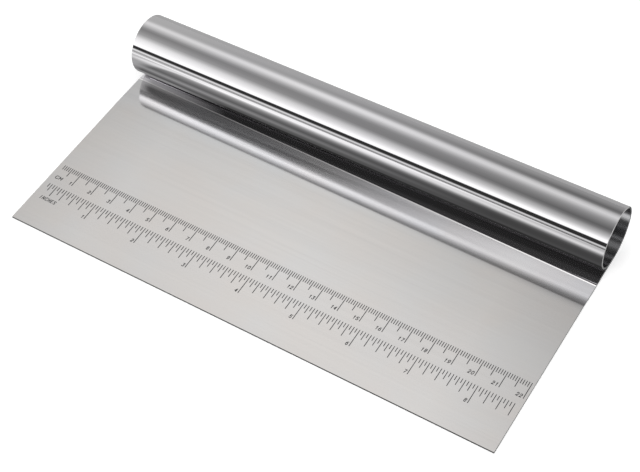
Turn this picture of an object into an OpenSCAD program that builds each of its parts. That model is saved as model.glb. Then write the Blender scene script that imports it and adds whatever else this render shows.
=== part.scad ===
// Dough scraper bent from one steel sheet: a flat blade with a printed ruler, rolled into an open handle.
// It lies on its back, ruler up, with the working edge to the front and the handle behind.

/* [Sheet] */
// Width of the blade and of the handle
blade_w = 223; // [120:1:300]
// Flat length from the working edge to the back bend
blade_l = 72; // [50:1:120]
// Thickness of the sheet
sheet_t = 0.8; // [0.5:0.1:1.5]
// Angle by which the neck leans back from the blade, in degrees
back_bend = 1.6; // [0:0.2:6]
// Straight length of the neck, from the back bend to where the roll starts
neck_l = 28.4; // [14:0.1:40]

/* [Handle] */
// Outer diameter of the rolled handle
handle_d = 26.4; // [18:0.2:36]
// Gap between the free lip of the roll and the neck
lip_gap = 0.3; // [0.1:0.1:1]

/* [Ruler] */
// Distance from the left end of the blade to the zero of both rows
zero_margin = 1.7; // [1:0.1:10]
// Least distance from the last tick to the right end of the blade
end_margin = 1.2; // [0.5:0.1:10]
// Distance from the working edge to the lowest tick
edge_margin = 13.5; // [6:0.5:20]
// Space between the two rows
row_gap = 3.2; // [1:0.1:8]
// Width of a tick
tick_w = 0.28; // [0.1:0.02:0.5]
// Thickness of the print
print_t = 0.05; // [0.02:0.01:0.1]

/* [Centimetre row] */
// Length of a millimetre tick
mm_tick = 2.3; // [1:0.1:3]
// Length of a half centimetre tick
half_tick = 4.6; // [3.2:0.1:6]
// Space between the half centimetre ticks and the top of the numbers
cm_number_gap = 1.4; // [0.3:0.1:3]
// Distance from the zero to the unit word
cm_word_inset = 0.9; // [0:0.1:2]
// Width of one letter of the unit word
cm_letter_w = 1.5; // [0.8:0.1:2]

/* [Inch row] */
// Length of a twentieth tick
twentieth_tick = 2.1; // [1:0.1:2.5]
// Length of a tenth tick
tenth_tick = 3.8; // [2.7:0.1:4.5]
// Length of a fifth tick
fifth_tick = 5.8; // [4.7:0.1:8]
// Space between the fifth ticks and the top of the numbers
inch_number_gap = 1; // [0.3:0.1:3]
// Distance from the zero to the unit word
inch_word_inset = 1.7; // [0:0.1:4]
// Width of one letter of the unit word
inch_letter_w = 1.05; // [0.6:0.05:1.4]

/* [Numbers and letters] */
// Height of a number or letter
number_h = 1.7; // [1:0.1:2.4]
// Width of one digit
digit_w = 1; // [0.6:0.05:1.3]
// Space between neighbouring digits or letters
letter_space = 0.38; // [0.3:0.02:0.6]
// Space between a number and its tick
number_side_gap = 0.5; // [0.2:0.1:1]
// Width of the lines that the numbers and letters are drawn with
stroke_w = 0.24; // [0.12:0.02:0.26]

/* [Hidden] */
$fn = 96;

steel = [0.78, 0.78, 0.77];
ink = [0.2, 0.2, 0.22];

// The two units of the ruler, and how each is divided
millimetre = 1;
inch = 25.4;
mm_per_cm = 10;
mm_per_half = 5;
parts_per_inch = 20;
parts_per_tenth = 2;
parts_per_fifth = 4;

// The neck runs into the roll as a tangent
outer_r = handle_d / 2;
inner_r = outer_r - sheet_t;
lip_angle = acos((inner_r - lip_gap) / outer_r);

// Start and centre of the roll, from the working edge and from the back face of the blade
roll_start = [blade_l + neck_l * cos(back_bend), -neck_l * sin(back_bend)];
roll_centre = roll_start + outer_r * [sin(back_bend), cos(back_bend)];

// At rest the working edge and the underside of the roll both touch the ground
roll_reach = norm(roll_centre);
rest_tilt = asin(outer_r / roll_reach) - atan2(roll_centre.y, roll_centre.x);
back_y = sqrt(pow(roll_reach, 2) - pow(outer_r, 2)) + outer_r;
front_y = -sheet_t * sin(rest_tilt);
mid_y = (back_y + front_y) / 2;

// Lengths of the longest ticks leave room for the numbers beside their lower ends
cm_tick = half_tick + cm_number_gap + number_h;
inch_tick = fifth_tick + inch_number_gap + number_h;
inch_base_y = edge_margin;
inch_top_y = inch_base_y + inch_tick;
cm_base_y = inch_top_y + row_gap;
cm_top_y = cm_base_y + cm_tick;

// Each row ends on the last of its longer ticks that fits on the blade
ruler_l = blade_w - zero_margin - end_margin;
mm_count = mm_per_half * floor(ruler_l / (mm_per_half * millimetre));
inch_part = inch / parts_per_inch;
part_count = parts_per_fifth * floor(ruler_l / (parts_per_fifth * inch_part));

// The strokes lean to the right by this share of their height
lean_share = 0.18;

// Each digit and letter is a list of strokes, and each stroke a list of points in shares of its cell
six_shares = [[[0.9, 1], [0.35, 0.9], [0, 0.5], [0, 0.2], [0.25, 0], [0.75, 0], [1, 0.2], [1, 0.4],
               [0.75, 0.58], [0.25, 0.58], [0, 0.4]]];
digit_shares = [
    [[[0.25, 0], [0.75, 0], [1, 0.25], [1, 0.75], [0.75, 1], [0.25, 1], [0, 0.75], [0, 0.25], [0.25, 0]]],
    [[[0.25, 0.75], [0.6, 1], [0.6, 0]]],
    [[[0, 0.75], [0.25, 1], [0.75, 1], [1, 0.75], [1, 0.6], [0, 0], [1, 0]]],
    [[[0, 1], [1, 1], [0.45, 0.6], [0.75, 0.6], [1, 0.4], [1, 0.2], [0.75, 0], [0.25, 0], [0, 0.15]]],
    [[[0.75, 0], [0.75, 1], [0, 0.3], [1, 0.3]]],
    [[[1, 1], [0.1, 1], [0, 0.55], [0.7, 0.6], [1, 0.4], [1, 0.2], [0.75, 0], [0.25, 0], [0, 0.15]]],
    six_shares,
    [[[0, 1], [1, 1], [0.35, 0]]],
    [[[0.25, 0.55], [0, 0.75], [0.25, 1], [0.75, 1], [1, 0.75], [0.75, 0.55], [0.25, 0.55],
      [0, 0.3], [0.25, 0], [0.75, 0], [1, 0.3], [0.75, 0.55]]],
    [for (stroke = six_shares) [for (p = stroke) [1 - p.x, 1 - p.y]]]
];
c_shares = [[[1, 0.8], [0.75, 1], [0.25, 1], [0, 0.75], [0, 0.25], [0.25, 0], [0.75, 0], [1, 0.2]]];
m_shares = [[[0, 0], [0, 1], [0.5, 0.35], [1, 1], [1, 0]]];
i_shares = [[[0.5, 0], [0.5, 1]]];
n_shares = [[[0, 0], [0, 1], [1, 0], [1, 1]]];
h_shares = [[[0, 0], [0, 1]], [[1, 0], [1, 1]], [[0, 0.5], [1, 0.5]]];
e_shares = [[[1, 1], [0, 1], [0, 0], [1, 0]], [[0, 0.5], [0.8, 0.5]]];
s_shares = [[[1, 0.85], [0.75, 1], [0.25, 1], [0, 0.8], [0.1, 0.58], [0.9, 0.42], [1, 0.2], [0.75, 0],
             [0.25, 0], [0, 0.15]]];

// Puts what is drawn flat, with the working edge along X, into its rest position
module at_rest() {
    translate([-blade_w / 2, -mid_y, 0]) rotate([rest_tilt, 0, 0]) children();
}

// Extrudes a flat outline upwards from the ruler face of the blade
module print_on_blade() {
    at_rest() translate([0, 0, sheet_t]) linear_extrude(print_t) children();
}

// Side view of the rolled ring, open between the lip and the neck, which meets it from the left at the origin
module roll_profile() {
    mouth = outer_r / cos(lip_angle);
    to_neck = [0, -1];
    to_lip = [-sin(lip_angle), -cos(lip_angle)];
    translate([0, outer_r]) difference() {
        circle(outer_r);
        circle(inner_r);
        polygon([[0, 0], mouth * to_lip, mouth * (to_lip + to_neck), mouth * to_neck]);
    }
}

// Side view of the whole sheet, with the neck along X and the start of the roll at the origin
module sheet_profile() {
    back = [-neck_l, 0];
    front = [-neck_l - sheet_t * tan(back_bend / 2), sheet_t];
    edge = back - blade_l * [cos(back_bend), sin(back_bend)];
    edge_front = edge + sheet_t * [-sin(back_bend), cos(back_bend)];
    polygon([[0, 0], [0, sheet_t], front, edge_front, edge, back]);
    roll_profile();
}

// One straight line of a digit or letter, with its ends squared off by half its width
module stroke_line(from, to) {
    run = to - from;
    translate(from) rotate(atan2(run.y, run.x)) translate([-stroke_w / 2, -stroke_w / 2])
        square([norm(run) + stroke_w, stroke_w]);
}

// A digit or letter in a cell of the given width, leaning to the right
module glyph(shares, cell_w) {
    inner_w = cell_w - stroke_w;
    inner_h = number_h - stroke_w;
    translate([stroke_w / 2, stroke_w / 2]) for (stroke = shares) {
        points = [for (p = stroke) [inner_w * p.x + inner_h * lean_share * p.y, inner_h * p.y]];
        for (i = [1 : len(points) - 1]) stroke_line(points[i - 1], points[i]);
    }
}

// A plain number whose right side is at the origin
module number(value) {
    digits = value < 10 ? [value] : [floor(value / 10), value % 10];
    pitch = digit_w + letter_space;
    lean = (number_h - stroke_w) * lean_share;
    for (i = [0 : len(digits) - 1])
        translate([(i - len(digits)) * pitch + letter_space - lean, 0])
            glyph(digit_shares[digits[i]], digit_w);
}

// A word whose left side is at the origin
module word(letters, letter_w) {
    for (i = [0 : len(letters) - 1]) translate([i * (letter_w + letter_space), 0]) glyph(letters[i], letter_w);
}

// A tick that hangs from the top of its row
module tick(x, top_y, length) {
    translate([x - tick_w / 2, top_y - length]) square([tick_w, length]);
}

module scraper_sheet() {
    color(steel) at_rest() rotate([90, 0, 90]) linear_extrude(blade_w)
        translate(roll_start) rotate(-back_bend) sheet_profile();
}

module centimetre_ticks() {
    color(ink) print_on_blade() for (i = [1 : mm_count]) {
        length = i % mm_per_cm == 0 ? cm_tick : i % mm_per_half == 0 ? half_tick : mm_tick;
        tick(zero_margin + i * millimetre, cm_top_y, length);
    }
}

module centimetre_numbers() {
    cm = mm_per_cm * millimetre;
    color(ink) print_on_blade() for (i = [1 : floor(mm_count / mm_per_cm)])
        translate([zero_margin + i * cm - tick_w / 2 - number_side_gap, cm_base_y]) number(i);
}

module inch_ticks() {
    color(ink) print_on_blade() for (i = [1 : part_count]) {
        small = i % parts_per_tenth == 0 ? tenth_tick : twentieth_tick;
        length = i % parts_per_inch == 0 ? inch_tick : i % parts_per_fifth == 0 ? fifth_tick : small;
        tick(zero_margin + i * inch_part, inch_top_y, length);
    }
}

module inch_numbers() {
    color(ink) print_on_blade() for (i = [1 : floor(part_count / parts_per_inch)])
        translate([zero_margin + i * inch - tick_w / 2 - number_side_gap, inch_base_y]) number(i);
}

module unit_words() {
    color(ink) print_on_blade() {
        translate([zero_margin + cm_word_inset, cm_base_y]) word([c_shares, m_shares], cm_letter_w);
        translate([zero_margin + inch_word_inset, inch_base_y])
            word([i_shares, n_shares, c_shares, h_shares, e_shares, s_shares], inch_letter_w);
    }
}

scraper_sheet();
centimetre_ticks();
centimetre_numbers();
inch_ticks();
inch_numbers();
unit_words();
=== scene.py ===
import math

import bmesh
import bpy
from mathutils import Matrix, Vector


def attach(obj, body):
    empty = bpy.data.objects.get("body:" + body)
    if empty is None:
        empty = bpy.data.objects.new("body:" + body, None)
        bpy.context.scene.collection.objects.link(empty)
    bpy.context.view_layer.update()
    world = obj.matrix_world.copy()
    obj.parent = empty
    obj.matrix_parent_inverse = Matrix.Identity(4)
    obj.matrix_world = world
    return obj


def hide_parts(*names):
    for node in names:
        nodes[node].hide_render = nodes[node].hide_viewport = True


# Dough scraper of bent steel sheet with a printed ruler, on a pale floor in soft studio light.
# Everything is in metres: +X along the handle, +Y from the working edge to the handle, +Z up.
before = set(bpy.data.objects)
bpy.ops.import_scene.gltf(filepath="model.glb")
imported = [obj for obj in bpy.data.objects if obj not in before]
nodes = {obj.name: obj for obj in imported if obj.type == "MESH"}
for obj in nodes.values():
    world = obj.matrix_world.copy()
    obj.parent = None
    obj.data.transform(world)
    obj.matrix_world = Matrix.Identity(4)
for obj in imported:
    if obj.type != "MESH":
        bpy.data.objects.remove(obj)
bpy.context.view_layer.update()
print("frame loaded:", ", ".join(sorted(nodes)))


# Small helpers for materials

def newMaterial(name):
    material = bpy.data.materials.new(name)
    material.use_nodes = True
    tree = material.node_tree
    tree.nodes.clear()
    return material, tree, tree.nodes.new("ShaderNodeOutputMaterial")


def addNode(tree, kind, settings=None, inputs=None):
    node = tree.nodes.new(kind)
    for name, value in (settings or {}).items():
        setattr(node, name, value)
    for name, value in (inputs or {}).items():
        node.inputs[name].default_value = value
    return node


def feed(tree, socket, value):
    # a number or a colour is set on the socket, anything else is linked to it
    if isinstance(value, (int, float)):
        socket.default_value = value
    elif isinstance(value, tuple):
        socket.default_value = (*value, 1.0)
    else:
        tree.links.new(value, socket)


def addMath(tree, operation, *values):
    node = addNode(tree, "ShaderNodeMath", {"operation": operation})
    for socket, value in zip(node.inputs, values):
        feed(tree, socket, value)
    return node.outputs[0]


def multiplyColor(tree, color, by):
    node = addNode(tree, "ShaderNodeVectorMath", {"operation": "MULTIPLY"})
    for socket, value in zip(node.inputs, (color, by)):
        feed(tree, socket, value)
    return node.outputs[0]


def mapRange(tree, value, low, high, toLow, toHigh, smooth=False):
    # four numbers together in the settings below are low, high, toLow and toHigh
    kind = "SMOOTHSTEP" if smooth else "LINEAR"
    node = addNode(tree, "ShaderNodeMapRange", {"interpolation_type": kind},
                   {"From Min": low, "From Max": high, "To Min": toLow, "To Max": toHigh})
    tree.links.new(value, node.inputs["Value"])
    return node.outputs["Result"]


def mixBetween(tree, share, first, second, kind, socketType):
    node = addNode(tree, "ShaderNodeMix", {"data_type": kind})
    inputs = [s for s in node.inputs if s.type == socketType and s.name in ("A", "B")]
    for socket, value in zip(inputs, (first, second)):
        feed(tree, socket, value)
    tree.links.new(share, node.inputs[0])
    return [s for s in node.outputs if s.type == socketType][0]


def mixColors(tree, share, first, second):
    return mixBetween(tree, share, first, second, "RGBA", "RGBA")


def mixValues(tree, share, first, second):
    return mixBetween(tree, share, first, second, "FLOAT", "VALUE")


def objectPlace(tree):
    return addNode(tree, "ShaderNodeTexCoord").outputs["Object"]


def objectAxes(tree):
    axes = addNode(tree, "ShaderNodeSeparateXYZ")
    tree.links.new(objectPlace(tree), axes.inputs[0])
    return axes.outputs["X"], axes.outputs["Y"], axes.outputs["Z"]


def addNoise(tree, cells, detail, warp=0.0):
    # noise whose grain is stretched by giving each axis its own number of cells per metre
    mapping = addNode(tree, "ShaderNodeMapping", {"vector_type": "POINT"}, {"Scale": cells})
    tree.links.new(objectPlace(tree), mapping.inputs["Vector"])
    noise = addNode(tree, "ShaderNodeTexNoise", {},
                    {"Scale": 1.0, "Detail": detail, "Roughness": 0.55, "Distortion": warp})
    tree.links.new(mapping.outputs[0], noise.inputs["Vector"])
    return noise.outputs["Fac"]


def addBump(tree, shader, height, strength, depth):
    bump = addNode(tree, "ShaderNodeBump", {}, {"Strength": strength, "Distance": depth})
    tree.links.new(height, bump.inputs["Height"])
    tree.links.new(bump.outputs["Normal"], shader.inputs["Normal"])


# The steel's finishes

# color and tint lie side by side in soft patches, and streak is the tone of the grinding streaks;
# grain and patches are cells per metre along X, Y and Z, and the grain runs along the handle
finishes = {
    "satinSteel": {
        "color": (0.80, 0.768, 0.742), "tint": (0.79, 0.778, 0.768), "streak": (0.71, 0.69, 0.68),
        "roughness": 0.125, "roughSpread": 0.03, "bump": 0.012, "streakShare": 0.25,
        "grain": (18, 1500, 1500), "patches": (28, 34, 34),
        # painted shade: the colour darkens from the working edge to the bend, and a little towards both
        # ends
        "shadeY": (-0.057, 0.0155, 1.13, 0.84), "shadeX": (0.08, 0.1115, 1.0, 0.87),
        # the neck is cooler in tone than the blade
        "neckTint": (0.985, 1.012, 1.040), "neckY": (0.0131, 0.0191, 0.0, 1.0),
    },
    "polishedSteel": {
        "color": (0.80, 0.79, 0.80), "tint": (0.79, 0.78, 0.80), "streak": (0.74, 0.73, 0.74),
        "roughness": 0.045, "roughSpread": 0.02, "bump": 0.004, "streakShare": 0.2,
        "grain": (14, 1900, 1900), "patches": (20, 30, 30),
    },
    "innerSteel": {
        "color": (0.66, 0.66, 0.67), "tint": (0.60, 0.60, 0.62), "streak": (0.5, 0.5, 0.5),
        "roughness": 0.16, "roughSpread": 0.05, "bump": 0.02, "streakShare": 0.4,
        "grain": (25, 1300, 1300), "patches": (30, 40, 40),
    },
    "cutSteel": {
        # the near-black colour of the cut edges is painted shade
        "color": (0.045, 0.043, 0.043), "tint": (0.035, 0.035, 0.035), "streak": (0.03, 0.03, 0.03),
        "roughness": 0.32, "roughSpread": 0.08, "bump": 0.03, "streakShare": 0.4,
        "grain": (2500, 300, 300), "patches": (60, 60, 60),
        # painted highlight: the rims are painted bright at the front and at the top of the handle
        "bright": (0.90, 0.88, 0.88), "topZ": (0.021, 0.024, 0.0, 1.0),
        "frontY": (0.034, 0.041, 0.5, 0.0), "frontZ": (0.006, 0.012, 0.0, 1.0),
    },
    # the thin line where the mirror polish of the handle begins; its near-white colour and small diffuse
    # share are a painted highlight
    "polishLine": {
        "color": (0.98, 0.97, 0.96), "tint": (0.96, 0.95, 0.94), "streak": (0.92, 0.91, 0.90),
        "roughness": 0.1, "roughSpread": 0.03, "bump": 0.01, "streakShare": 0.3,
        "grain": (30, 1500, 1500), "patches": (60, 60, 60), "metallic": 0.9,
    },
}

# What all the steel finishes have in common
grindLook = {
    "patchEdges": (0.35, 0.65, 0.0, 1.0),   # noise where a patch turns from color to tint
    "patchWarp": 0.4,
    "patchDetail": 2.0,
    "fineDetail": 4.0,
    "coarseDetail": 2.0,
    "coarser": 0.3,                         # cells of the coarse streaks, as a share of the fine ones
    "fineShare": 0.6,                       # the rest of the streaks is coarse
    "streakEdges": (0.42, 0.72),            # noise where the streaks start and are fullest
    "roughEdges": (0.3, 0.7),               # noise where the steel is smoothest and roughest
    "bumpDepth": 0.0002,
}


def streakNoise(tree, cells):
    # fine grinding streaks along the handle, with a coarser set over them
    coarseCells = tuple(count * grindLook["coarser"] for count in cells)
    fine = addNoise(tree, cells, grindLook["fineDetail"])
    coarse = addNoise(tree, coarseCells, grindLook["coarseDetail"])
    scaled = addMath(tree, "MULTIPLY", coarse, 1 - grindLook["fineShare"])
    return addMath(tree, "MULTIPLY_ADD", fine, grindLook["fineShare"], scaled)


def shadeTintAndHighlight(tree, color, look):
    x, y, z = objectAxes(tree)
    # painted shade on the satin: darker towards the bend and towards both ends
    if "shadeY" in look:
        endward = mapRange(tree, addMath(tree, "ABSOLUTE", x), *look["shadeX"])
        tone = addMath(tree, "MULTIPLY", mapRange(tree, y, *look["shadeY"]), endward)
        color = multiplyColor(tree, color, tone)
    if "neckTint" in look:
        tint = mixColors(tree, mapRange(tree, y, *look["neckY"]), (1.0, 1.0, 1.0), look["neckTint"])
        color = multiplyColor(tree, color, tint)
    # painted highlight on the cut edges, at the front and at the top of the handle
    if "bright" in look:
        paintedHighlight = mapRange(tree, y, *look["frontY"])
        paintedHighlight = addMath(tree, "MULTIPLY", paintedHighlight, mapRange(tree, z, *look["frontZ"]))
        paintedHighlight = addMath(tree, "MAXIMUM", paintedHighlight, mapRange(tree, z, *look["topZ"]))
        color = mixColors(tree, paintedHighlight, color, look["bright"])
    return color


def steelFinish(name):
    look = finishes[name]
    material, tree, output = newMaterial(name)
    shader = addNode(tree, "ShaderNodeBsdfPrincipled", {}, {"Metallic": look.get("metallic", 1.0)})
    tree.links.new(shader.outputs[0], output.inputs["Surface"])
    patches = addNoise(tree, look["patches"], grindLook["patchDetail"], grindLook["patchWarp"])
    patchShare = mapRange(tree, patches, *grindLook["patchEdges"])
    color = mixColors(tree, patchShare, look["color"], look["tint"])
    streaks = streakNoise(tree, look["grain"])
    streakShare = mapRange(tree, streaks, *grindLook["streakEdges"], 0.0, look["streakShare"])
    color = mixColors(tree, streakShare, color, look["streak"])
    tree.links.new(shadeTintAndHighlight(tree, color, look), shader.inputs["Base Color"])
    smoothest = look["roughness"] - look["roughSpread"]
    roughest = look["roughness"] + look["roughSpread"]
    rough = mapRange(tree, streaks, *grindLook["roughEdges"], smoothest, roughest)
    tree.links.new(rough, shader.inputs["Roughness"])
    addBump(tree, shader, streaks, look["bump"], grindLook["bumpDepth"])
    return material


# The bent sheet: blade, bend, neck and rolled handle in one piece
sheetShape = {
    "width": 0.223,
    "thickness": 0.0008,
    "bladeLength": 0.072,           # working edge to the back bend
    "bendAngle": 1.6,               # degrees that the neck leans back
    "neckLength": 0.0284,
    "rollRadius": 0.0131995,        # outside of the handle
    "lipGap": 0.0003,
    "rollStep": 2.0,                # degrees between two rows of points on the roll
    "edgeRounding": 0.00011,        # the cut edges are lightly deburred
    "roundingRows": 3,
    "sharpFrom": 60,                # degrees from which an edge is rounded
    "columns": 32,                  # faces along the handle
    "bladeRows": (0.0, 0.0002, 0.004, 0.014, 0.028, 0.042, 0.054, 0.062),
    "neckRows": (44, 12),           # rows in front of the polish line and behind it
    "neckSteps": 200,               # steps in which the neck's slope is summed up
    "polishStart": (0.0900, 0.0850),    # working edge to the polish, at the left and at the right end
    "polishLineWidth": 0.00052,
    "polishRidge": 0.00004,         # the polish begins with a very low ridge
    # the bend isn't even and runs at a slant: metres from the working edge at the left end and at the right
    # end, and the neck's lean in degrees at both
    "lean": ((0.0750, 0.0704, 0.0, 0.0), (0.0766, 0.0723, 0.1, 1.9), (0.0775, 0.0736, 1.6, 4.6),
             (0.0788, 0.0752, 1.6, 4.6), (0.0799, 0.0776, 1.9, 4.3), (0.0810, 0.0791, 1.3, 3.6),
             (0.0818, 0.0802, 0.9, 3.0), (0.0826, 0.0813, 1.1, 1.1), (0.0840, 0.0826, 1.9, -0.7),
             (0.0865, 0.0865, 2.4, -1.3), (0.0905, 0.0905, 2.2, -0.3), (0.0930, 0.0930, 1.9, 2.2),
             (0.0955, 0.0955, 1.8, 2.8), (0.0980, 0.0980, 1.6, 1.6)),
}


def between(knots, at):
    # value at a place, straight between the knots
    if at <= knots[0][0]:
        return knots[0][1]
    for (low, first), (high, second) in zip(knots, knots[1:]):
        if at <= high:
            return first + (second - first) * (at - low) / (high - low)
    return knots[-1][1]


def evenPlaces(low, high, count):
    return [low + (high - low) * i / count for i in range(count + 1)]


def neckProfile(shape, share):
    # drop and slope of the neck at one place along the handle, in equal steps from the blade to the roll;
    # the lean reaches its right end's values early
    eased = 1 - (1 - share) ** 2
    knots = [(left + (right - left) * share, leanLeft + (leanRight - leanLeft) * eased)
             for left, right, leanLeft, leanRight in shape["lean"]]
    start, end = knots[0][0], knots[-1][0]
    count = shape["neckSteps"]
    length = (end - start) / count
    slopes = [math.tan(math.radians(between(knots, start + length * i))) for i in range(count + 1)]
    # what is missing at the roll is spread over the neck, by 6 t (1 - t), whose mean is 1
    wanted = math.tan(math.radians(shape["bendAngle"])) * (end - shape["bladeLength"]) / (end - start)
    missing = wanted - sum(slopes) / len(slopes)
    drops, leans, drop = [], [], 0.0
    for i, slope in enumerate(slopes):
        slope += missing * 6 * (i / count) * (1 - i / count)
        drops.append((start + length * i, drop))
        leans.append((start + length * i, slope))
        drop += slope * length
    return drops, leans


def rollCentre(shape):
    bend, radius = math.radians(shape["bendAngle"]), shape["rollRadius"]
    startY = shape["bladeLength"] + shape["neckLength"] * math.cos(bend)
    startZ = -shape["neckLength"] * math.sin(bend)
    return startY + radius * math.sin(bend), startZ + radius * math.cos(bend)


def restPlace(shape):
    # the working edge and the underside of the roll both touch the floor
    centre = rollCentre(shape)
    reach = math.hypot(*centre)
    tilt = math.asin(shape["rollRadius"] / reach) - math.atan2(centre[1], centre[0])
    backY = math.sqrt(reach ** 2 - shape["rollRadius"] ** 2) + shape["rollRadius"]
    frontY = -shape["thickness"] * math.sin(tilt)
    return Matrix.Translation((0, -(backY + frontY) / 2, 0)) @ Matrix.Rotation(tilt, 4, "X")


def sheetRows(shape):
    # each row gives, for a place along the handle, the middle of the sheet there and the sheet's lean;
    # with each row goes the finish of the faces behind it, on the ruler side and on the back side
    half = shape["thickness"] / 2
    bend = math.radians(shape["bendAngle"])
    centreY, centreZ = rollCentre(shape)
    radius = shape["rollRadius"]
    lineWidth, ridge = shape["polishLineWidth"], shape["polishRidge"]
    profiles = {}

    def onFlat(distance, share, lift=0.0):
        if share not in profiles:
            profiles[share] = neckProfile(shape, share)
        drops, leans = profiles[share]
        drop = between(drops, distance)
        if distance > drops[-1][0]:
            drop += math.tan(bend) * (distance - drops[-1][0])
        return distance, half - drop + lift, -math.atan(between(leans, distance))

    def polishAt(share):
        start, end = shape["polishStart"]
        return start + (end - start) * share

    def bladeRow(distance):
        return lambda share: onFlat(distance, share)

    def frontRow(part):
        first = shape["bladeRows"][-1]
        return lambda share: onFlat(first + (polishAt(share) - lineWidth - first) * part, share)

    def backRow(part):
        last = centreY - (radius - half) * math.sin(bend)
        return lambda share: onFlat(polishAt(share) + (last - polishAt(share)) * part, share)

    def rollRow(turn):
        facing = -math.pi / 2 - bend + turn      # from the centre of the roll to the sheet
        middle = radius - half
        point = (centreY + middle * math.cos(facing), centreZ + middle * math.sin(facing), turn - bend)
        return lambda share: point

    frontCount, backCount = shape["neckRows"]
    satin, polished = "satinSteel", "polishedSteel"
    rows = [(bladeRow(distance), satin, satin) for distance in shape["bladeRows"][:-1]]
    rows += [(frontRow(row / frontCount), satin, satin) for row in range(frontCount)]
    rows.append((frontRow(1.0), "polishLine", satin))
    rows.append((lambda share: onFlat(polishAt(share), share, ridge), polished, polished))
    rows.append((lambda share: onFlat(polishAt(share) + lineWidth, share), polished, polished))
    rows += [(backRow(row / backCount), polished, polished) for row in range(1, backCount)]
    mouth = math.acos((radius - shape["thickness"] - shape["lipGap"]) / radius)
    turnLength = 2 * math.pi - mouth
    rollCount = round(math.degrees(turnLength) / shape["rollStep"])
    rollTurns = evenPlaces(0, turnLength, rollCount)
    rows += [(rollRow(turn), "innerSteel", polished) for turn in rollTurns]
    return rows


def sheetMesh(shape, rows, names):
    half, width, columns = shape["thickness"] / 2, shape["width"], shape["columns"]
    mesh = bmesh.new()
    grid = []
    for place, frontFinish, backFinish in rows:
        front, back = [], []
        for column in range(columns + 1):
            share = column / columns
            y, z, lean = place(share)
            x = width * (share - 0.5)
            front.append(mesh.verts.new((x, y - half * math.sin(lean), z + half * math.cos(lean))))
            back.append(mesh.verts.new((x, y + half * math.sin(lean), z - half * math.cos(lean))))
        grid.append((front, back))

    def addFace(corners, finish):
        face = mesh.faces.new(corners)
        face.material_index = names.index(finish)
        face.smooth = True

    # crisp edges at the polish line
    ridgeRow = [frontFinish for place, frontFinish, backFinish in rows].index("polishLine")
    for front, back in grid[ridgeRow:ridgeRow + 3]:
        for left, right in zip(front, front[1:]):
            mesh.edges.new((left, right)).smooth = False
    for (here, there), (place, frontFinish, backFinish) in zip(zip(grid, grid[1:]), rows):
        for left in range(columns):
            right = left + 1
            addFace((here[0][left], here[0][right], there[0][right], there[0][left]), frontFinish)
            addFace((here[1][right], here[1][left], there[1][left], there[1][right]), backFinish)
        addFace((here[0][0], there[0][0], there[1][0], here[1][0]), "cutSteel")
        addFace((here[1][-1], there[1][-1], there[0][-1], here[0][-1]), "cutSteel")
    # the working edge and the lip
    for front, back in (grid[0], grid[-1]):
        for left in range(columns):
            addFace((front[left], back[left], back[left + 1], front[left + 1]), "cutSteel")
    bmesh.ops.recalc_face_normals(mesh, faces=mesh.faces[:])
    data = bpy.data.meshes.new("bent_sheet")
    mesh.to_mesh(data)
    mesh.free()
    return data


def buildSheet(shape):
    names = list(finishes)
    data = sheetMesh(shape, sheetRows(shape), names)
    data.transform(restPlace(shape))
    sheet = bpy.data.objects.new("bent_sheet", data)
    bpy.context.scene.collection.objects.link(sheet)
    for name in names:
        data.materials.append(steelFinish(name))
    bevel = sheet.modifiers.new("deburred edges", "BEVEL")
    bevel.width = shape["edgeRounding"]
    bevel.segments = shape["roundingRows"]
    bevel.limit_method = "ANGLE"
    bevel.angle_limit = math.radians(shape["sharpFrom"])
    bevel.harden_normals = True
    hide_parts("scraper_sheet")
    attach(sheet, "root")
    return sheet


sheet = buildSheet(sheetShape)
print("bent sheet:", len(sheet.data.vertices), "points,", len(sheet.data.polygons), "faces")


# The printed ruler
rulerInk = {
    "nodes": ("centimetre_ticks", "centimetre_numbers", "inch_ticks", "inch_numbers", "unit_words"),
    "color": (0.020, 0.020, 0.024),
    "wornColor": (0.07, 0.07, 0.08),
    "wearCells": (900, 900, 900),           # per metre
    "wearDetail": 3.0,
    "wearEdges": (0.45, 0.7, 0.0, 1.0),     # noise where the ink turns from whole to worn
    "roughness": 0.5,
    "roughSpread": 0.1,
    "roughEdges": (0.3, 0.7),               # noise where the ink is smoothest and roughest
    "gloss": 0.2,
    "bump": 0.1,
    "bumpDepth": 0.00003,
}


def inkMaterial(look):
    material, tree, output = newMaterial("rulerInk")
    shader = addNode(tree, "ShaderNodeBsdfPrincipled", {}, {"Specular IOR Level": look["gloss"]})
    tree.links.new(shader.outputs[0], output.inputs["Surface"])
    wear = addNoise(tree, look["wearCells"], look["wearDetail"])
    wearShare = mapRange(tree, wear, *look["wearEdges"])
    color = mixColors(tree, wearShare, look["color"], look["wornColor"])
    tree.links.new(color, shader.inputs["Base Color"])
    smoothest = look["roughness"] - look["roughSpread"]
    roughest = look["roughness"] + look["roughSpread"]
    rough = mapRange(tree, wear, *look["roughEdges"], smoothest, roughest)
    tree.links.new(rough, shader.inputs["Roughness"])
    addBump(tree, shader, wear, look["bump"], look["bumpDepth"])
    return material


def inkRuler(look):
    ink = inkMaterial(look)
    for name in look["nodes"]:
        nodes[name].data.materials.clear()
        nodes[name].data.materials.append(ink)


inkRuler(rulerInk)
print("ruler print inked")


# The studio

# what the steel mirrors is painted as brightness by place: on the floor, on an arch round the handle, on a
# flag over the blade and on two cards in the handle's right end
mirrorLook = {
    "second": 1.5,          # a ray that was mirrored twice or more has a greater glossy depth than this
    "third": 2.5,           # and than this, if it was mirrored three times or more
    "thirdLevel": 0.05,     # brightness of the floor and the flag by way of three mirrorings
    "brightest": 1.5,       # no strip can be brighter
}


def mirrorings(tree):
    # one switch that is on from the second mirroring, and one that is on from the third
    depth = addNode(tree, "ShaderNodeLightPath").outputs["Glossy Depth"]
    return (addMath(tree, "GREATER_THAN", depth, mirrorLook["second"]),
            addMath(tree, "GREATER_THAN", depth, mirrorLook["third"]))


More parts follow.
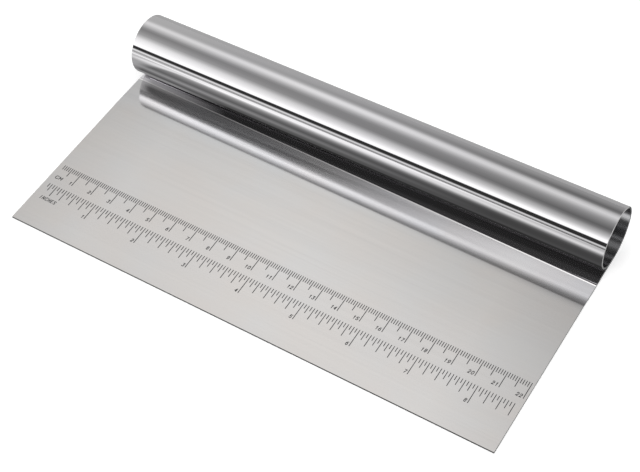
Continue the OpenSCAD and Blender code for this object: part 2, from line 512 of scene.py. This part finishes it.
def whiteGlow(tree, level):
    glow = addNode(tree, "ShaderNodeEmission", {}, {"Color": (1, 1, 1, 1)})
    tree.links.new(level, glow.inputs["Strength"])
    return glow


def paintStrips(tree, value, strips, column=1):
    # brightness by one coordinate, straight between the strips, from one of their columns
    low, high = strips[0][0], strips[-1][0]
    ramp = addNode(tree, "ShaderNodeValToRGB")
    stops = ramp.color_ramp.elements
    while len(stops) < len(strips):
        stops.new(0.5)
    for stop, strip in zip(stops, strips):
        stop.position = (strip[0] - low) / (high - low)
        level = strip[column] / mirrorLook["brightest"]
        stop.color = (level, level, level, 1)
    tree.links.new(mapRange(tree, value, low, high, 0.0, 1.0), ramp.inputs["Fac"])
    return addMath(tree, "MULTIPLY", ramp.outputs["Color"], mirrorLook["brightest"])


def paintLeftToRight(tree, value, strips, rightward):
    # the strips have one brightness for the left and another for the right
    left = paintStrips(tree, value, strips, 1)
    right = paintStrips(tree, value, strips, 2)
    return mixValues(tree, rightward, left, right)


def flatMesh(name, xs, ys, z):
    count = len(xs)
    verts = [(x, y, z) for y in ys for x in xs]
    corners = [row * count + column for row in range(len(ys) - 1) for column in range(count - 1)]
    faces = [(corner, corner + 1, corner + count + 1, corner + count) for corner in corners]
    data = bpy.data.meshes.new(name)
    data.from_pydata(verts, [], faces)
    made = bpy.data.objects.new(name, data)
    bpy.context.scene.collection.objects.link(made)
    return made


def onlyMirrored(card):
    card.visible_camera = False
    card.visible_diffuse = False
    card.visible_shadow = False
    card.visible_transmission = False


def glowOnOneSide(tree, output, level, fromBelow=False):
    # glows on its upper side, or on its lower side, and is clear from the other
    glow = whiteGlow(tree, level)
    clear = addNode(tree, "ShaderNodeBsdfTransparent")
    choose = addNode(tree, "ShaderNodeMixShader")
    tree.links.new(addNode(tree, "ShaderNodeNewGeometry").outputs["Backfacing"], choose.inputs[0])
    sides = (clear, glow) if fromBelow else (glow, clear)
    for socket, side in zip((choose.inputs[1], choose.inputs[2]), sides):
        tree.links.new(side.outputs[0], socket)
    tree.links.new(choose.outputs[0], output.inputs["Surface"])


# The pale floor
floorLook = {
    "size": 6.0,
    "cells": 8,
    "color": (0.86, 0.86, 0.86),
    "speckle": (0.8, 0.8, 0.8),
    "speckleCells": (60, 60, 60),
    "speckleDetail": 2.0,
    "speckleEdges": (0.3, 0.7, 0.985, 1.0),     # noise, and the share of the floor's own colour there
    "glow": 0.42,                               # lifts the floor to white for the camera
    # as mirrored once: in front of the scraper, along X; far out in front it keeps a share of that
    "front": (-0.02, 0.06, 1.15, 0.60),
    "farShare": (-0.45, -0.10, 0.42, 0.05),
    "nearY": (-0.75, -0.20, 0.0, 1.0),
    "leftward": (-0.205, -0.186, 0.72, 1.0),    # further out to the left it is dimmer
    # beside the scraper and behind it
    "besideY": (-0.08, -0.05, 0.0, 1.0),
    "side": 0.65,
    "behindY": (0.04, 0.06, 0.0, 1.0),
    "back": 0.44,
    "deep": (-0.19, -0.02, 0.13, 0.90),         # by way of two mirrorings, along X
}


def floorAsMirrored(tree, look):
    x, y, z = objectAxes(tree)
    farShare = mapRange(tree, x, *look["farShare"])
    reach = mixValues(tree, mapRange(tree, y, *look["nearY"]), farShare, 1.0)
    front = addMath(tree, "MULTIPLY", mapRange(tree, x, *look["front"]), reach)
    front = addMath(tree, "MULTIPLY", front, mapRange(tree, x, *look["leftward"]))
    level = mixValues(tree, mapRange(tree, y, *look["besideY"]), front, look["side"])
    level = mixValues(tree, mapRange(tree, y, *look["behindY"]), level, look["back"])
    second, third = mirrorings(tree)
    level = mixValues(tree, second, level, mapRange(tree, x, *look["deep"]))
    return whiteGlow(tree, mixValues(tree, third, level, mirrorLook["thirdLevel"]))


def buildFloor(look):
    half = look["size"] / 2
    places = evenPlaces(-half, half, look["cells"])
    floor = flatMesh("floor", places, places, 0.0)
    material, tree, output = newMaterial("paleFloor")
    speckle = addNoise(tree, look["speckleCells"], look["speckleDetail"])
    shade = mapRange(tree, speckle, *look["speckleEdges"])
    diffuse = addNode(tree, "ShaderNodeBsdfDiffuse")
    tree.links.new(mixColors(tree, shade, look["speckle"], look["color"]), diffuse.inputs["Color"])
    path = addNode(tree, "ShaderNodeLightPath")
    glow = whiteGlow(tree, addMath(tree, "MULTIPLY", path.outputs["Is Camera Ray"], look["glow"]))
    plain = addNode(tree, "ShaderNodeAddShader")
    choose = addNode(tree, "ShaderNodeMixShader")
    tree.links.new(diffuse.outputs[0], plain.inputs[0])
    tree.links.new(glow.outputs[0], plain.inputs[1])
    tree.links.new(path.outputs["Is Glossy Ray"], choose.inputs[0])
    tree.links.new(plain.outputs[0], choose.inputs[1])
    tree.links.new(floorAsMirrored(tree, look).outputs[0], choose.inputs[2])
    tree.links.new(choose.outputs[0], output.inputs["Surface"])
    floor.data.materials.append(material)


buildFloor(floorLook)
print("floor laid")


# The arch stands round the handle's own axis and is seen in the steel only
archLook = {
    "place": (0, 0.0437, 0.0132),
    "radius": 1.6,
    "length": 7.0,
    "faces": 120,
    # degrees from the floor behind the handle, over the top, to the floor in front; brightness at the left
    # end and at the right end of across
    "strips": [(-4, 0.50, 0.36), (14, 0.50, 0.32), (26, 0.50, 0.23), (35, 0.50, 0.16), (42, 0.56, 0.22),
               (50, 0.78, 0.50), (57, 0.85, 0.71), (64, 0.71, 0.79), (72, 0.53, 0.63), (80, 0.35, 0.44),
               (88, 0.26, 0.32), (98, 0.32, 0.23), (110, 0.43, 0.145), (118, 0.65, 0.21), (126, 0.94, 0.40),
               (134, 1.10, 0.60), (142, 1.20, 0.93), (148, 1.30, 1.28), (156, 1.35, 1.35),
               (158.3, 0.035, 0.035), (167.0, 0.035, 0.03), (168.5, 0.28, 0.02), (170.2, 0.72, 0.13),
               (173, 1.10, 0.95), (176, 0.48, 0.50), (180, 0.40, 0.06)],
    "across": (-1.03, -0.27, 0.0, 1.0),
    # a soft glow halfway across: degrees, reach to either side in degrees, brightness
    "glow": (49, 24, 0.20),
    # by way of two mirrorings, along X and from this angle on
    "deep": (-0.68, -0.33, 0.13, 1.18),
    "deepAngles": (156, 158, 0.0, 1.0),
    # the bright strip before the black one is brighter by way of two mirrorings: where, and by how much
    "whiterAngles": (134, 142, 0.0, 1.0),
    "whiter": (-0.60, -0.38, 0.52, 0.10),
    # the mirrored handle's left end fades out softly
    "endFade": (-0.990, -1.028, 0.0, 1.0),
    "end": 0.60,
    "third": (-1.03, -0.92, 0.70, 0.06),        # share that is left by way of three mirrorings
    # further right, where only other views reach, the arch has plain bands: degrees, brightness
    "plainFrom": (-0.20, 0.45, 0.0, 1.0),
    "plain": [(-4, 0.35), (20, 0.40), (32, 0.95), (58, 1.05), (68, 0.52), (80, 0.56), (92, 0.85),
              (112, 1.05), (134, 1.05), (145, 0.40), (154, 0.40), (163, 0.90), (184, 0.75)],
}


def archMesh(look):
    verts, faces = [], []
    for step in range(look["faces"] + 1):
        angle = math.pi * step / look["faces"]
        for side in (-1, 1):
            verts.append((side * look["length"] / 2, look["radius"] * math.cos(angle),
                          look["radius"] * math.sin(angle)))
        if step:
            faces.append((2 * step - 2, 2 * step - 1, 2 * step + 1, 2 * step))
    data = bpy.data.meshes.new("reflectionArch")
    data.from_pydata(verts, [], faces)
    return data


def softGlow(tree, angle, rightward, glow):
    # strongest at one angle and halfway from left to right
    centre, reach, strongest = glow
    aside = addMath(tree, "ABSOLUTE", addMath(tree, "SUBTRACT", rightward, 0.5))
    beyond = addMath(tree, "ABSOLUTE", addMath(tree, "SUBTRACT", angle, centre))
    alongX = mapRange(tree, aside, 0.0, 0.5, 1.0, 0.0, smooth=True)
    around = mapRange(tree, beyond, 0.0, reach, strongest, 0.0, smooth=True)
    return addMath(tree, "MULTIPLY", alongX, around)


def archPaint(look):
    material, tree, output = newMaterial("archPaint")
    x, y, z = objectAxes(tree)
    angle = addMath(tree, "MULTIPLY", addMath(tree, "ARCTAN2", z, y), 180 / math.pi)
    rightward = mapRange(tree, x, *look["across"])
    level = paintLeftToRight(tree, angle, look["strips"], rightward)
    level = addMath(tree, "ADD", level, softGlow(tree, angle, rightward, look["glow"]))
    second, third = mirrorings(tree)
    whiter = addMath(tree, "MULTIPLY", mapRange(tree, x, *look["whiter"]),
                     mapRange(tree, angle, *look["whiterAngles"]))
    whiter = addMath(tree, "MULTIPLY_ADD", second, whiter, 1.0)
    level = addMath(tree, "MULTIPLY", level, whiter)
    deep = mapRange(tree, x, *look["deep"])
    deep = mixValues(tree, mapRange(tree, x, *look["endFade"]), deep, look["end"])
    deepShare = addMath(tree, "MULTIPLY", second, mapRange(tree, angle, *look["deepAngles"]))
    level = mixValues(tree, deepShare, level, deep)
    plainShare = mapRange(tree, x, *look["plainFrom"], smooth=True)
    level = mixValues(tree, plainShare, level, paintStrips(tree, angle, look["plain"]))
    left = addMath(tree, "MULTIPLY", level, mapRange(tree, x, *look["third"]))
    glow = whiteGlow(tree, mixValues(tree, third, level, left))
    tree.links.new(glow.outputs[0], output.inputs["Surface"])
    return material


def buildArch(look):
    arch = bpy.data.objects.new("reflectionArch", archMesh(look))
    bpy.context.scene.collection.objects.link(arch)
    arch.location = look["place"]
    arch.data.materials.append(archPaint(look))
    onlyMirrored(arch)


buildArch(archLook)
print("arch painted")


# The flag over the blade, seen only from above and in the steel: it is the blade as the handle mirrors it
flagLook = {
    "height": 0.0022,
    "xs": (-0.160, 0.1115),
    "ys": (-0.0572, 0.0356),
    "cells": (4, 8),
    # all that depends on Y from here on depends on the distance from the working edge
    # distance, brightness at the left end and at the right end of across
    "strips": [(0.0, 1.30, 0.74), (0.015, 1.25, 0.76), (0.025, 1.20, 0.80), (0.040, 0.70, 0.88),
               (0.050, 0.40, 0.68), (0.058, 0.31, 0.36), (0.067, 0.21, 0.12), (0.074, 0.145, 0.07),
               (0.0785, 0.28, 0.065), (0.0805, 0.35, 0.065), (0.0830, 0.22, 0.07), (0.0850, 0.13, 0.08),
               (0.0872, 0.12, 0.08)],
    "across": (-0.09, 0.060, 0.0, 1.0),
    # the crease next to the handle is dark but for its left end
    "crease": (-0.095, -0.065, 0.29, 0.03),
    "creaseY": (0.0868, 0.0882, 0.0, 1.0),
    # to the left of the blade the flag is the floor, darker towards the handle and further out
    "besideX": (-0.119, -0.112, 1.0, 0.0),
    "beside": (0.050, 0.068, 0.93, 0.44),
    "besideLeft": (-0.140, -0.131, 0.72, 1.0),
    # what is seen by way of the neck and the handle comes in at a slant, in metres of X for each of Y
    "slant": 0.33,
    "slantFrom": 0.085,
    "deepFront": [(-0.075, 0.14), (-0.050, 0.19), (-0.022, 0.30), (0.0, 0.42), (0.018, 0.67),
                  (0.055, 1.25), (0.090, 1.48)],
    "deepBack": (-0.09, -0.05, 0.14, 0.05),
    "deepCrease": (-0.110, -0.068, 0.43, 0.025),
    # from its front to its back at a slant, more so towards the right, and on to the crease
    "deepTurns": ((0.21, 0.0807, 0.0825), (1.15, 0.111, 0.114)),
    "creaseTurn": (0.085, 0.089, 0.0, 1.0),
    # the blade's left end fades out softly
    "endSlant": 0.5,
    "endFade": (-0.1095, -0.1165, 0.0, 1.0),
    "end": 0.75,
}


def flagPaint(look):
    material, tree, output = newMaterial("flagPaint")
    x, y, z = objectAxes(tree)
    distance = addMath(tree, "SUBTRACT", y, restPlace(sheetShape).translation.y)

    def slid(slant):
        past = addMath(tree, "SUBTRACT", distance, look["slantFrom"])
        return addMath(tree, "SUBTRACT", x, addMath(tree, "MULTIPLY", past, slant))

    # by way of one mirroring
    level = paintLeftToRight(tree, distance, look["strips"], mapRange(tree, x, *look["across"]))
    crease = mapRange(tree, x, *look["crease"])
    level = mixValues(tree, mapRange(tree, distance, *look["creaseY"]), level, crease)
    beside = addMath(tree, "MULTIPLY", mapRange(tree, distance, *look["beside"]),
                     mapRange(tree, x, *look["besideLeft"]))
    level = mixValues(tree, mapRange(tree, x, *look["besideX"]), level, beside)
    # by way of two
    along = slid(look["slant"])
    toBack = 0.0
    for slant, start, end in look["deepTurns"]:
        slanted = addMath(tree, "MULTIPLY_ADD", along, slant, distance)
        toBack = addMath(tree, "MAXIMUM", mapRange(tree, slanted, start, end, 0.0, 1.0), toBack)
    deep = mixValues(tree, toBack, paintStrips(tree, along, look["deepFront"]),
                     mapRange(tree, x, *look["deepBack"]))
    deep = mixValues(tree, mapRange(tree, distance, *look["creaseTurn"]), deep,
                     mapRange(tree, x, *look["deepCrease"]))
    toEnd = mapRange(tree, slid(look["endSlant"]), *look["endFade"], smooth=True)
    deep = mixValues(tree, toEnd, deep, look["end"])
    second, third = mirrorings(tree)
    level = mixValues(tree, second, level, deep)
    level = mixValues(tree, third, level, mirrorLook["thirdLevel"])
    glowOnOneSide(tree, output, level)
    return material


def buildFlag(look):
    xCells, yCells = look["cells"]
    xs = evenPlaces(*look["xs"], xCells)
    ys = evenPlaces(*look["ys"], yCells)
    flag = flatMesh("bladeFlag", xs, ys, look["height"])
    flag.data.materials.append(flagPaint(look))
    onlyMirrored(flag)


buildFlag(flagLook)
print("flag laid over the blade")


# Two small cards in the handle's right end, seen only in its inner wall as the light bands on it
cardLooks = {
    "lowerCard": {
        # strips: place along Y, brightness
        "height": 0.006, "xs": (0.07, 0.111), "ys": (0.0375, 0.0545), "fromBelow": False,
        "strips": [(0.0375, 0.04), (0.0462, 0.05), (0.0482, 0.75), (0.0500, 0.88), (0.0515, 0.06),
                   (0.0545, 0.04)],
    },
    "upperCard": {
        "height": 0.021, "xs": (0.07, 0.111), "ys": (0.0380, 0.0530), "fromBelow": True,
        "strips": [(0.0380, 0.04), (0.0410, 0.05), (0.0440, 0.20), (0.0465, 0.20), (0.0490, 0.05),
                   (0.0530, 0.04)],
    },
}


def buildCard(name, look):
    card = flatMesh(name, look["xs"], look["ys"], look["height"])
    material, tree, output = newMaterial(name + "Paint")
    x, y, z = objectAxes(tree)
    glowOnOneSide(tree, output, paintStrips(tree, y, look["strips"]), look["fromBelow"])
    card.data.materials.append(material)
    onlyMirrored(card)


for name, look in cardLooks.items():
    buildCard(name, look)
print("cards set in the handle")


# Two soft lamps and the pale room round them
lampLooks = {
    # power in watts
    "overhead": {"place": (0.1, 0.1, 1.5), "aim": (0, 0, 0), "size": 1.4, "power": 9.0},
    "front": {"place": (-0.5, -1.4, 0.9), "aim": (0, 0, 0), "size": 0.9, "power": 4.0},
}

worldLook = {
    "level": 0.55,      # light on the object
    "seen": 1.0,        # white, as the camera and the mirrorings see it
}


def buildLamp(name, look):
    lamp = bpy.data.lights.new(name, "AREA")
    lamp.size = look["size"]
    lamp.energy = look["power"]
    holder = bpy.data.objects.new(name, lamp)
    bpy.context.scene.collection.objects.link(holder)
    holder.location = look["place"]
    toAim = Vector(look["aim"]) - Vector(look["place"])
    holder.rotation_euler = toAim.to_track_quat("-Z", "Y").to_euler()
    holder.visible_glossy = False     # the steel shows the arch and the floor, not the lamps


def buildWorld(look):
    world = bpy.data.worlds.new("studio")
    bpy.context.scene.world = world
    world.use_nodes = True
    tree = world.node_tree
    tree.nodes.clear()
    output = tree.nodes.new("ShaderNodeOutputWorld")
    background = addNode(tree, "ShaderNodeBackground", {}, {"Color": (1, 1, 1, 1)})
    path = addNode(tree, "ShaderNodeLightPath")
    seen = addMath(tree, "MAXIMUM", path.outputs["Is Camera Ray"], path.outputs["Is Glossy Ray"])
    seen = addMath(tree, "MAXIMUM", seen, path.outputs["Is Transmission Ray"])
    level = mapRange(tree, seen, 0.0, 1.0, look["level"], look["seen"])
    tree.links.new(level, background.inputs["Strength"])
    tree.links.new(background.outputs[0], output.inputs["Surface"])


for name, look in lampLooks.items():
    buildLamp(name, look)
buildWorld(worldLook)
print("lamps and room set")


# Camera at the photo's viewing angle
cameraLook = {
    "place": (0.22194, -0.30464, 0.46945),
    "forward": (-0.36283, 0.50378, -0.78394),
    "up": (-0.38394, 0.68572, 0.61836),
    "lens": 83.65,          # millimetres, as is the sensor
    "sensor": 36.0,
    "nearest": 0.01,
}


def buildCamera(look):
    camera = bpy.data.objects.new("camera", bpy.data.cameras.new("camera"))
    bpy.context.scene.collection.objects.link(camera)
    back = -Vector(look["forward"]).normalized()
    right = Vector(look["up"]).cross(back).normalized()
    turn = Matrix((right, back.cross(right), back)).transposed()
    camera.matrix_world = Matrix.Translation(look["place"]) @ turn.to_4x4()
    camera.data.sensor_width = look["sensor"]
    camera.data.lens = look["lens"]
    camera.data.clip_start = look["nearest"]
    bpy.context.scene.camera = camera


buildCamera(cameraLook)
bpy.context.scene.view_settings.view_transform = "Standard"
print("camera set")
